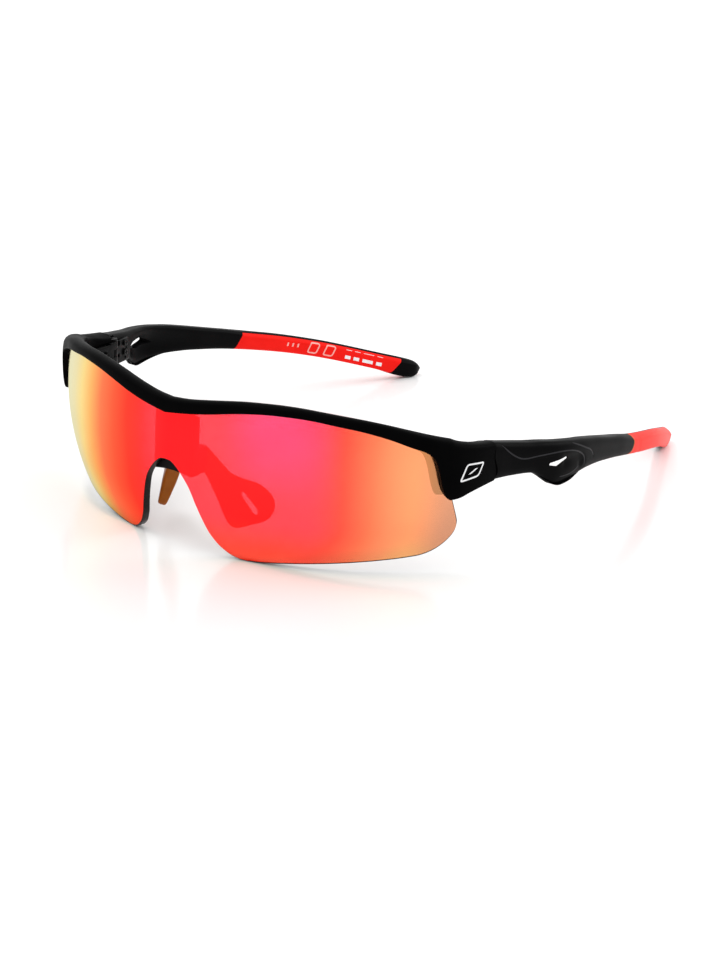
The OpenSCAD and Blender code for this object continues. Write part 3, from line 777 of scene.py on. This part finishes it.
def black_plastic(name, rough, specular, bevel=0.00018, brightness=1.0):
    n = Shader(name)
    fine = n.noise(scale=5200, detail=3, rough=0.6)
    coarse = n.noise(scale=120, detail=4, rough=0.55)
    # paler in patches on sharp edges: partly wear, partly a painted edge highlight
    edge_wear_and_highlight = n.math("MULTIPLY", n.span(n.pointiness(), (0.53, 0.62)),
                  n.span(coarse, (0.45, 0.7), to=(0.0, 0.6)))
    dark, light = (tuple(brightness * v for v in colour)
                   for colour in ((0.0012, 0.0012, 0.0014), (0.0022, 0.0021, 0.0023)))
    n.surface({
        "Base Color": n.mix(edge_wear_and_highlight, n.mix(n.grain(coarse), dark, light), (0.008, 0.0078, 0.0078)),
        "Roughness": n.math("ADD", n.grain(fine, rough - 0.06, rough + 0.06),
                            n.grain(coarse, -0.05, 0.05)),
        "Specular IOR Level": specular,
        "Normal": n.bump(fine, distance=0.000012, strength=0.6, bevel=bevel)})
    return n.material


def outer_rubber_tone(n, tone):
    """Paler, with a painted highlight growing towards the tip, and a thin golden line at the
    shell's end.
    """
    x, y, z = n.xyz()
    # painted highlight: this mask rises towards the tip and, below, pales the rubber to pink there
    far = n.span(y, (0.040, 0.078), soft=True)
    tone = n.mix(0.30, tone, (1.0, 0.16, 0.13))
    tone = n.mix(n.math("MULTIPLY", far, 0.42), tone, (1.0, 0.27, 0.25))
    squares = []
    for axis, middle, half in ((y, SHELL_END + LIFT[1], SHELL_A),
                               (z, arm_middle(SHELL_END) + LIFT[2], SHELL_B)):
        offset = n.math("DIVIDE", n.math("SUBTRACT", axis, middle * MM), half * MM)
        squares.append(n.math("MULTIPLY", offset, offset))
    radius = n.math("SQRT", n.math("ADD", *squares))
    return n.mix(n.span(radius, (1.05, 1.10), to=(0.9, 0)), tone, (0.36, 0.17, 0.03))


def rubber(name, outer):
    """Soft-touch red rubber, paler in patches along its sharp edges."""
    n = Shader(name)
    fine = n.noise(scale=4200, detail=4, rough=0.65)
    coarse = n.noise(scale=90, detail=3, rough=0.5)
    tone = n.mix(n.grain(coarse), (0.80, 0.006, 0.003), (0.90, 0.012, 0.007))
    if outer:
        tone = outer_rubber_tone(n, tone)
    # paler in patches along sharp edges
    pale_edges = n.math("MULTIPLY", n.span(n.pointiness(), (0.53, 0.60), to=(0, 0.35)),
                   n.span(coarse, (0.4, 0.7)))
    n.surface({
        "Base Color": n.mix(pale_edges, tone, (0.95, 0.12, 0.09)),
        "Roughness": n.grain(fine, 0.46, 0.60),
        "Specular IOR Level": 0.07,
        "Normal": n.bump(fine, distance=0.000016, strength=0.7, bevel=0.00015)})
    return n.material


def amber(name):
    n = Shader(name)
    fine = n.noise(scale=2600, detail=3, rough=0.6)
    coarse = n.noise(scale=160, detail=3, rough=0.5)
    n.surface({
        "Base Color": n.mix(n.grain(coarse), (0.27, 0.070, 0.004), (0.36, 0.110, 0.010)),
        "Roughness": n.grain(fine, 0.32, 0.46),
        "Subsurface Weight": 0.35,
        "Subsurface Radius": (0.0016, 0.0008, 0.0003),
        "Subsurface Scale": 0.6,
        "Specular IOR Level": 0.10,
        "Normal": n.bump(fine, distance=0.00001, strength=0.4)})
    return n.material


def dark_steel(name):
    """Brushed along y, with a painted highlight on its edges."""
    n = Shader(name)
    stretch = n.node("Mapping")
    n.feed(stretch.inputs[0], n.place)
    n.feed(stretch.inputs["Scale"], (1.0, 0.06, 1.0))
    brushed = n.noise(scale=9000, detail=3, rough=0.6, place=stretch.outputs[0])
    coarse = n.noise(scale=400, detail=3, rough=0.5)
    # painted highlight: paler steel colour on sharp edges
    edge = n.span(n.pointiness(), (0.52, 0.6), to=(0, 0.7))
    tone = n.mix(n.grain(coarse), (0.0022, 0.0022, 0.0024), (0.0045, 0.0045, 0.0048))
    n.surface({
        "Base Color": n.mix(edge, tone, (0.014, 0.0138, 0.0135)),
        "Metallic": 0.25,
        "Specular IOR Level": 0.05,
        "Roughness": n.grain(brushed, 0.28, 0.46),
        "Normal": n.bump(brushed, distance=0.000006, strength=0.5, bevel=0.00006)})
    return n.material


def print_ink(name, tone, worn_tone, rough):
    n = Shader(name)
    coarse = n.noise(scale=900, detail=4, rough=0.6)
    fine = n.noise(scale=5200, detail=2, rough=0.5)
    n.surface({
        "Base Color": n.mix(n.span(coarse, (0.35, 0.75)), tone, worn_tone),
        "Roughness": n.grain(coarse, *rough),
        "Normal": n.bump(fine, distance=0.000006, strength=0.4)})
    return n.material


# Coating colours by share of the way from the middle to the sides: reflected and let through
SEEN = [(0.0, (1.0, 0.016, 0.020)), (0.15, (1.0, 0.034, 0.020)), (0.35, (0.88, 0.11, 0.042)),
        (0.55, (0.60, 0.22, 0.075)), (0.75, (0.60, 0.33, 0.115)), (1.0, (0.60, 0.44, 0.22))]
THROUGH = [(0.0, (0.05, 0.058, 0.078)), (0.15, (0.06, 0.060, 0.040)),
           (0.35, (0.15, 0.090, 0.050)), (0.55, (0.40, 0.115, 0.070)),
           (0.75, (0.32, 0.18, 0.080)), (1.0, (0.26, 0.20, 0.12))]
# Reflected colours by how far the sheet turns away from the eye
EDGE_ON = [(0.0, (1.0, 0.036, 0.036)), (0.148, (0.973, 0.049, 0.029)),
           (0.275, (1.0, 0.105, 0.046)), (0.41, (0.93, 0.19, 0.078)),
           (0.551, (0.86, 0.42, 0.13)), (0.696, (0.82, 0.62, 0.24)),
           (0.847, (0.72, 0.64, 0.37)), (1.0, (0.70, 0.66, 0.43))]


def facing_in_plan(n, geometry, x, back):
    """Cosine between the view and the ring's outward direction in plan."""
    radius = n.math("SQRT", n.math("ADD", n.math("MULTIPLY", x, x), n.math("MULTIPLY", back, back)))
    across = n.node("CombineXYZ")
    n.feed(across.inputs[0], n.math("DIVIDE", x, radius))
    n.feed(across.inputs[1], n.math("DIVIDE", n.math("MULTIPLY", back, -1), radius))
    dot = n.node("VectorMath")
    dot.operation = "DOT_PRODUCT"
    n.feed(dot.inputs[0], geometry.outputs["Incoming"])
    n.feed(dot.inputs[1], across.outputs[0])
    return dot.outputs["Value"]


def mirror_coat(name):
    """Outer face of the shield: an interference coating, red in the middle, orange towards
    the sides and gold at a glancing angle."""
    n = Shader(name)
    n.tree.nodes.remove(n.principled)
    x, y, z = n.xyz()
    back = n.math("SUBTRACT", RING_Y_M, y)

    def degrees(sideways):
        return n.math("MULTIPLY", n.math("ARCTAN2", sideways, back), 180 / math.pi)
    angle = degrees(n.math("ABSOLUTE", x))
    geometry = n.node("NewGeometry")
    facing = facing_in_plan(n, geometry, x, back)
    low = n.span(z, (0.0135, 0.0), to=(0, 0.17), soft=True)
    streak = n.math("MULTIPLY", n.math("SUBTRACT", n.noise(scale=38, detail=3, rough=0.5), 0.5),
                    0.07)
    sideways = n.span(angle, (29, 51), to=(0, 0.57), soft=True)
    shift = n.math("ADD", n.math("ADD", sideways, low), streak, clamp=True)
    seen = n.ramp(shift, SEEN)
    through = n.ramp(shift, THROUGH)
    # more blue is let through near the top, around 24 degrees to the left
    from_spot = n.math("ABSOLUTE", n.math("SUBTRACT", degrees(x), 24))
    spot = n.math("MULTIPLY", n.span(z, (0.016, 0.036), soft=True),
                  n.span(from_spot, (2, 13), to=(1, 0), soft=True))
    through = n.mix(n.math("MULTIPLY", spot, 0.8), through, (0.06, 0.072, 0.20))
    # the outer ends of the sheet are paler and greyer
    end = n.math("MULTIPLY", n.span(angle, (49, 58), soft=True),
                 n.span(z, (0.036, 0.012), to=(0.75, 1.0)))
    seen = n.mix(end, seen, (0.36, 0.19, 0.105))
    through = n.mix(end, through, (0.30, 0.115, 0.075))
    # at a glancing angle it turns orange, then gold, and nothing is let through
    turned = n.math("ADD", n.span(facing, (0.66, 0.13)), n.math("MULTIPLY", low, 0.45))
    edge_on = n.ramp(n.math("ADD", turned, streak, clamp=True), EDGE_ON)
    glance = n.span(facing, (0.735, 0.61), soft=True)
    seen = n.mix(glance, seen, edge_on)
    through = n.mix(glance, through, (0.0, 0.0, 0.0))
    gloss = n.node("BsdfGlossy")
    n.feed(gloss.inputs["Color"], seen)
    n.feed(gloss.inputs["Roughness"], n.grain(n.noise(scale=55, detail=3, rough=0.6), 0.10, 0.17))
    n.feed(gloss.inputs["Normal"], n.bump(n.noise(scale=30, detail=1, rough=0.4),
                                          distance=0.00002, strength=0.15))
    n.outside_only(n.with_transparent(gloss.outputs[0], through), geometry, clear=0.98)
    return n.material


def clear_back(name):
    """Inner face of the shield: a polished grey-rose filter, deeper towards the brow."""
    n = Shader(name)
    height = n.xyz()[2]
    through = n.mix(n.span(height, (0.004, 0.036)), (0.30, 0.20, 0.185), (0.22, 0.14, 0.14))
    n.surface({
        "Base Color": (0.10, 0.085, 0.085),
        "Metallic": 1.0,
        "Roughness": n.grain(n.noise(scale=60, detail=3, rough=0.6), 0.05, 0.12)})
    n.outside_only(n.with_transparent(n.principled.outputs[0], through),
                   n.node("NewGeometry"), clear=0.97)
    return n.material


def cut_edge(name):
    """Polished edge of the tinted sheet: nearly black with a gloss."""
    n = Shader(name)
    fine = n.noise(scale=3000, detail=3, rough=0.6)
    coarse = n.noise(scale=80, detail=2, rough=0.5)
    n.surface({
        "Base Color": n.mix(n.grain(coarse), (0.0022, 0.0016, 0.0014), (0.006, 0.0032, 0.0024)),
        "Roughness": n.grain(fine, 0.22, 0.34),
        "Specular IOR Level": 0.09,
        "Normal": n.bump(fine, distance=0.000006, strength=0.4)})
    n.outside_only(n.principled.outputs[0], n.node("NewGeometry"), clear=0.97)
    return n.material


def table_white(name):
    n = Shader(name)
    n.surface({
        "Base Color": (0.93, 0.928, 0.925),
        "Roughness": n.grain(n.noise(scale=14, detail=3, rough=0.5), 0.16, 0.23),
        "Specular IOR Level": 0.7})
    return n.material


# ---- prints -----------------------------------------------------------------
# A strip is a list of pairs of (y, z) points across it, and whether it closes on itself.
def bar(y0, z0, y1, z1, width, pieces=8):
    pairs = []
    for i in range(pieces + 1):
        t = i / pieces
        y, z = y0 + (y1 - y0)*t, z0 + (z1 - z0)*t
        pairs.append(((y - width/2, z), (y + width/2, z)))
    return pairs, False


def outline(corners, cut, width):
    """Closed outline of a polygon with rounded corners."""
    outer = rounded(corners, cut, 5)
    inner = inset(outer, width)
    pairs = []
    for i in range(len(outer)):
        j = (i + 1) % len(outer)
        pieces = 4 if np.linalg.norm(outer[j] - outer[i]) > 0.6 else 1
        for k in range(pieces):
            pairs.append([line[i] + (line[j] - line[i]) * k / pieces for line in (inner, outer)])
    return pairs, True


def path(line, width):
    """Open line along the points well inside the arm's outline, running out to fine ends."""
    points = np.array([p for p in line if p[0] > wave(p[1]) + 0.7 and
                       curve(ARM_LOW, p[0]) + 0.4 < p[1] < curve(ARM_TOP, p[0]) - 0.55])
    tangents = np.gradient(points, axis=0)
    tangents /= np.linalg.norm(tangents, axis=1)[:, None]
    normals = np.stack([-tangents[:, 1], tangents[:, 0]], -1)
    k = np.arange(len(points))
    to_end = np.minimum(k, len(points) - 1 - k)
    half = width / 2 * np.minimum(1, 0.3 + to_end / 5)[:, None]
    return list(zip(points - normals * half, points + normals * half)), False


def block(y, width, height, lean):
    """Slanted outline along the arm's middle."""
    corners = []
    for side, up in ((-1, -1), (1, -1), (1, 1), (-1, 1)):
        edge = y + side * width / 2
        corners.append((edge + up * lean * height, arm_middle(edge) + up * height / 2))
    return corners


def tile(y, width, height, lean, count=6):
    """Filled slanted block along the arm's middle."""
    return [((q - lean, arm_middle(q) - height / 2), (q + lean, arm_middle(q) + height / 2))
            for q in np.linspace(y - width / 2, y + width / 2, count)], False


def decal(name, strips, target, sign, material, body, inward=False, lift=0.02,
          thickness=0.03):
    """Thin printed strips dropped on a surface; nothing is made if a point misses it."""
    tree = BVHTree.FromObject(target, bpy.context.evaluated_depsgraph_get())
    # rays start at the middle plane for the inner face and outside for the outer face
    start_x = 0.0 if inward else sign * 0.2
    direction = Vector((sign if inward else -sign, 0, 0))
    points, faces = [], []
    for pairs, closed in strips:
        first, count = len(points), 2 * len(pairs)
        for offset in (lift, lift + thickness):
            for y, z in (point for pair in pairs for point in pair):
                _, ray_y, ray_z = standing([0, y, z])
                hit, normal, _, _ = tree.ray_cast(Vector((start_x, ray_y, ray_z)), direction)
                if hit is None:
                    return
                if normal.dot(direction) > 0:
                    normal = -normal
                points.append(hit + normal * offset * MM)
        for i in range(len(pairs) if closed else len(pairs) - 1):
            j = (i + 1) % len(pairs)
            a, b, c, d = (first + k for k in (2*i, 2*i + 1, 2*j + 1, 2*j))
            faces += [(a, b, c, d), (a + count, d + count, c + count, b + count),
                      (a, d, d + count, a + count), (b, b + count, c + count, c)]
        if not closed:
            for a, order in ((first, 1), (first + count - 2, -1)):
                faces.append((a, a + count, a + 1 + count, a + 1)[::order])
    obj = solid(name, points, faces)
    obj.data.materials.append(material)
    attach(obj, body)


# ---- put together -----------------------------------------------------------
FRAME_BLACK = black_plastic("frame_black", rough=0.44, specular=0.012, brightness=0.6)
ARM_BLACK = black_plastic("arm_black", rough=0.38, specular=0.028)
BLOCK_BLACK = black_plastic("block_black", rough=0.36, specular=0.06)
# light grey for the arm's moulded lines: a painted highlight along their ridges
LINE_HIGHLIGHT = black_plastic("moulded_line_highlight", rough=0.45, specular=0.12, bevel=0.0, brightness=13.0)
OUTER_RED = rubber("grip_red_outer", outer=True)
INNER_RED = rubber("grip_red_inner", outer=False)
PAD_AMBER = amber("pad_amber")
STEEL = dark_steel("hinge_dark_steel")
PRINT_WHITE = print_ink("print_white", tone=(0.86, 0.86, 0.87), worn_tone=(0.72, 0.72, 0.73),
                        rough=(0.38, 0.52))
PRINT_PALE = print_ink("print_pale", tone=(0.92, 0.42, 0.38), worn_tone=(0.86, 0.30, 0.27),
                       rough=(0.42, 0.55))
LENS_MATERIALS = [mirror_coat("lens_mirror"), clear_back("lens_back"), cut_edge("lens_edge")]


def paint(obj, materials):
    obj.data.materials.clear()
    for material in materials:
        obj.data.materials.append(material)


def finish(obj, materials, body, crease=34):
    paint(obj, materials)
    smooth(obj, crease)
    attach(obj, body)
    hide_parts(obj.name.removesuffix("_visual"))


def add_marks(side, sign, brow, arm, inner):
    body = side + "_arm"
    # on the end piece: a slanted outline with a dash in it
    corners = [(-12.3, -7.6), (-6.3, -7.0), (-4.4, -3.6), (-10.3, -3.2)]
    decal(side + "_end_mark",
          [outline(corners, cut=0.9, width=0.42), bar(-9.4, -5.9, -7.2, -4.8, width=0.8)],
          brow, sign, PRINT_WHITE, "front")
    # on the inner grip: dashes, outlined blocks and filled blocks
    small = [bar(y, arm_middle(y) - 0.45, y + 0.25, arm_middle(y) + 0.55, width=0.5)
             for y in (73.0, 74.6, 76.2)]
    small += [outline(block(y, width=3.0, height=2.9, lean=0.25), cut=0.8, width=0.38)
              for y in (81.2, 86.0)]
    decal(side + "_grip_small_marks", small, inner, sign, PRINT_PALE, body, inward=True)
    tiles = [tile(y, width, height=2.5, lean=0.3)
             for y, width in ((91.6, 1.6), (94.1, 1.6), (97.4, 3.0), (100.7, 1.6))]
    decal(side + "_grip_blocks", tiles, inner, sign, PRINT_WHITE, body, inward=True,
          lift=0.03, thickness=0.05)
    # fine raised lines of the moulding on the arm's outer face, light grey as a painted highlight
    # along their ridges
    lines = [path(line, width) for line, width in ((LINE_1, 0.34), (LINE_2, 0.34), (LINE_3, 0.26))]
    decal(side + "_arm_lines", lines, arm, sign, LINE_HIGHLIGHT, body,
          lift=-0.05, thickness=0.10)


def add_side(side, sign, brow):
    arm, outer, inner = build_arm(sign, side)
    finish(arm, [ARM_BLACK], side + "_arm")
    finish(outer, [OUTER_RED], side + "_arm")
    finish(inner, [INNER_RED], side + "_arm")
    finish(build_pad(sign, side), [PAD_AMBER], "front", crease=50)
    add_marks(side, sign, brow, arm, inner)


def soften(obj, material, width):
    """Dresses a CAD piece and rounds its edges."""
    paint(obj, [material])
    weld = obj.modifiers.new("weld", "WELD")
    weld.merge_threshold = 1e-6
    bevel = obj.modifiers.new("soft_edges", "BEVEL")
    bevel.width = width
    bevel.segments = 3
    bevel.limit_method = "ANGLE"
    bevel.angle_limit = math.radians(38)
    bevel.harden_normals = False
    smooth(obj)


lens = build_lens()
finish(lens, LENS_MATERIALS, "front", crease=30)
sort_lens_faces(lens)
brow = build_frame()
finish(brow, [FRAME_BLACK], "front")
add_side("left", 1, brow)
add_side("right", -1, brow)

for name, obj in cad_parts.items():
    if obj.hide_render:
        continue
    if "leaf" in name or "screw" in name:
        soften(obj, STEEL, width=0.00007)
    elif name == "nose_bridge":
        soften(obj, BLOCK_BLACK, width=0.00045)


# ---- setting, in metres -----------------------------------------------------
def stage_floor():
    """Pale glossy table top, tipped to lie under both the lens edge and the arm tips."""
    slope = 1.75 / 151.0
    level_y, drop, half = -0.0745, 0.00012, 6.0
    corners = [(x, y, slope * (y - level_y) - drop)
               for x, y in ((-half, -half), (half, -half), (half, half), (-half, half))]
    obj = mesh_object("floor", corners, [(0, 1, 2, 3)])
    obj.data.materials.append(table_white("table_white"))


def stage_world():
    world = bpy.data.worlds.new("studio")
    bpy.context.scene.world = world
    world.use_nodes = True
    background = world.node_tree.nodes["Background"]
    background.inputs["Color"].default_value = (1.0, 1.0, 1.0, 1)
    background.inputs["Strength"].default_value = 1.02


def area_light(name, place, target, size, power):
    light = bpy.data.lights.new(name, "AREA")
    light.shape = "RECTANGLE"
    light.size, light.size_y = size
    light.energy = power
    obj = link_object(name, light)
    obj.location = place
    obj.rotation_mode = "QUATERNION"
    obj.rotation_quaternion = (Vector(target) - Vector(place)).to_track_quat("-Z", "Y")


def add_camera():
    """Camera in front, above and to the wearer's left, rolled a little."""
    azimuth, elevation, roll = 0.6480764, 0.3285466, 0.0484133
    distance, shift_right, shift_up = 800.0, 18.466374, -24.135071    # mm from the layout's origin
    sin_az, cos_az = math.sin(azimuth), math.cos(azimuth)
    sin_el, cos_el = math.sin(elevation), math.cos(elevation)
    back = np.array([sin_az * cos_el, -cos_az * cos_el, sin_el])
    level = np.array([cos_az, sin_az, 0.0])
    upright = np.array([-sin_az * sin_el, cos_az * sin_el, cos_el])
    right = math.cos(roll) * level + math.sin(roll) * upright
    up = -math.sin(roll) * level + math.cos(roll) * upright
    place = standing(back * distance + shift_right * right + shift_up * up)
    data = bpy.data.cameras.new("camera")
    camera = link_object("camera", data)
    data.sensor_width = 36
    data.lens = 118.82625
    data.clip_start, data.clip_end = 0.05, 50
    rows = np.stack([right, up, back, place], -1).tolist()
    camera.matrix_world = Matrix([*rows, (0, 0, 0, 1)])
    bpy.context.scene.camera = camera


stage_floor()
stage_world()
area_light("key", place=(-0.25, -0.35, 0.85), target=(0, 0, 0), size=(0.7, 0.5), power=3.0)
area_light("rim", place=(0.55, 0.75, 0.55), target=(0.03, 0.02, 0.01), size=(0.6, 0.4), power=2.2)
add_camera()
bpy.context.scene.view_settings.view_transform = "Standard"
